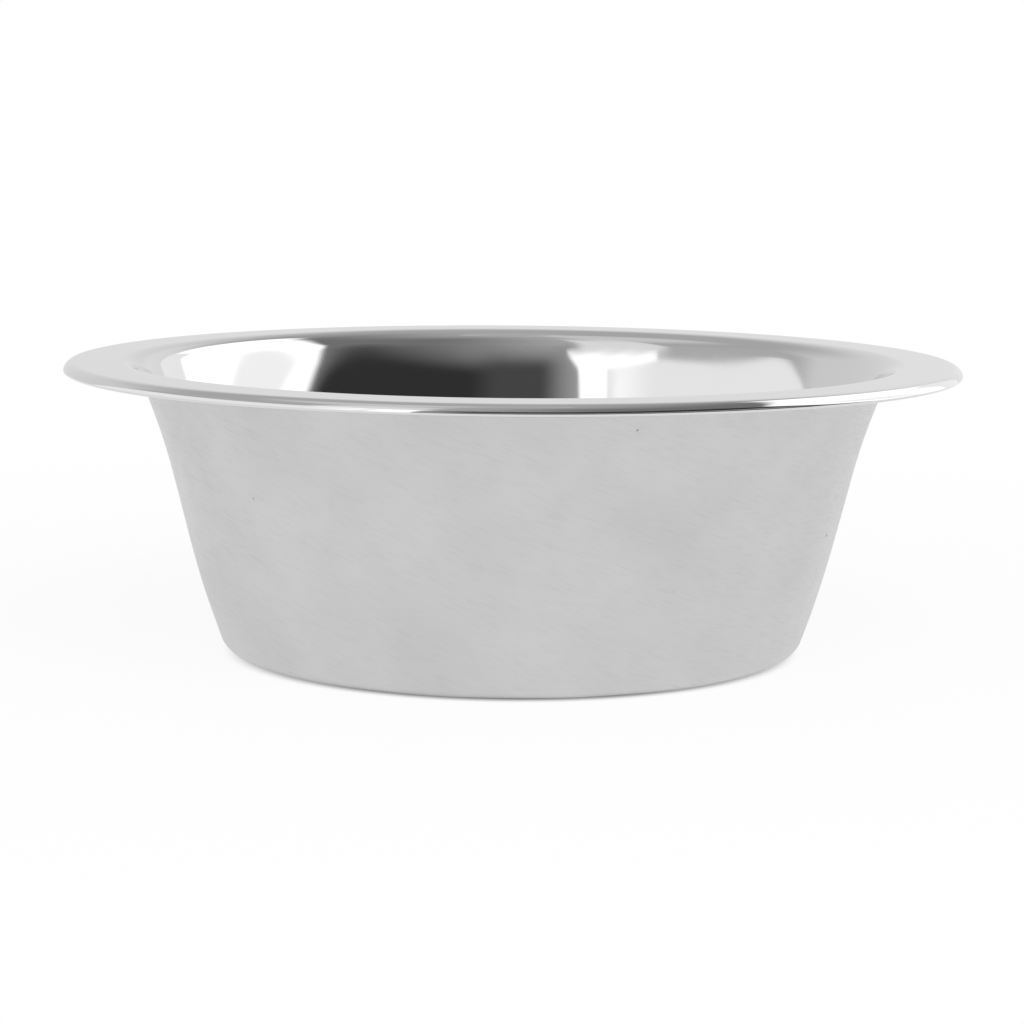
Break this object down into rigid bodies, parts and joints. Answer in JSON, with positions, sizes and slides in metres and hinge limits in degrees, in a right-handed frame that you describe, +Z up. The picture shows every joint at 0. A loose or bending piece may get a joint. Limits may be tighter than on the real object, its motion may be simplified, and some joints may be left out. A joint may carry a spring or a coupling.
{
  "type": "dog bowl",
  "caption": "Round stainless steel dog bowl with a flaring wall, a wide level flange with a rolled edge, and a flat base on a bonded non-slip rubber ring.",
  "frame": {"origin": "centre of the circle that the bowl stands on, on the floor", "axes": "+Z up along the bowl's axis of turning; the bowl is round, so X and Y are free"},
  "size_m": [0.25, 0.25, 0.082],
  "materials": {
    "stainless_steel": "fine satin hairline outside, mirror polish inside and on the rim",
    "black_rubber": "moulded, matte"
  },
  "bodies": {
    "root": {"steel_bowl": "stainless_steel", "rubber_ring": "black_rubber"}
  },
  "joints": []
}
